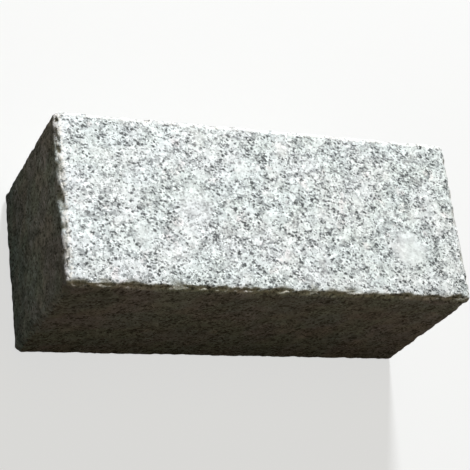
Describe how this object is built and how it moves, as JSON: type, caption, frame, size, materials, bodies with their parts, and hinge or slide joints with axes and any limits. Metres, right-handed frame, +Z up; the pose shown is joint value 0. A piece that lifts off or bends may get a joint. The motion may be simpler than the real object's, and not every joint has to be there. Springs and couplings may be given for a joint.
{
  "type": "granite palisade block",
  "caption": "Rectangular light grey granite block with hammer-dressed faces and broken, chipped arrises, for edging, steps and low walls.",
  "frame": {"origin": "middle of the base outline, on the face that the block lies on", "axes": "+X along the length towards the right end, +Y across the width towards the back, +Z up"},
  "size_m": [0.2506, 0.106, 0.1088],
  "materials": {
    "granite": "matt hammer-dressed granite: white feldspar, grey quartz and black mica grains"
  },
  "bodies": {
    "root": {"palisade_block": "granite"}
  },
  "joints": []
}
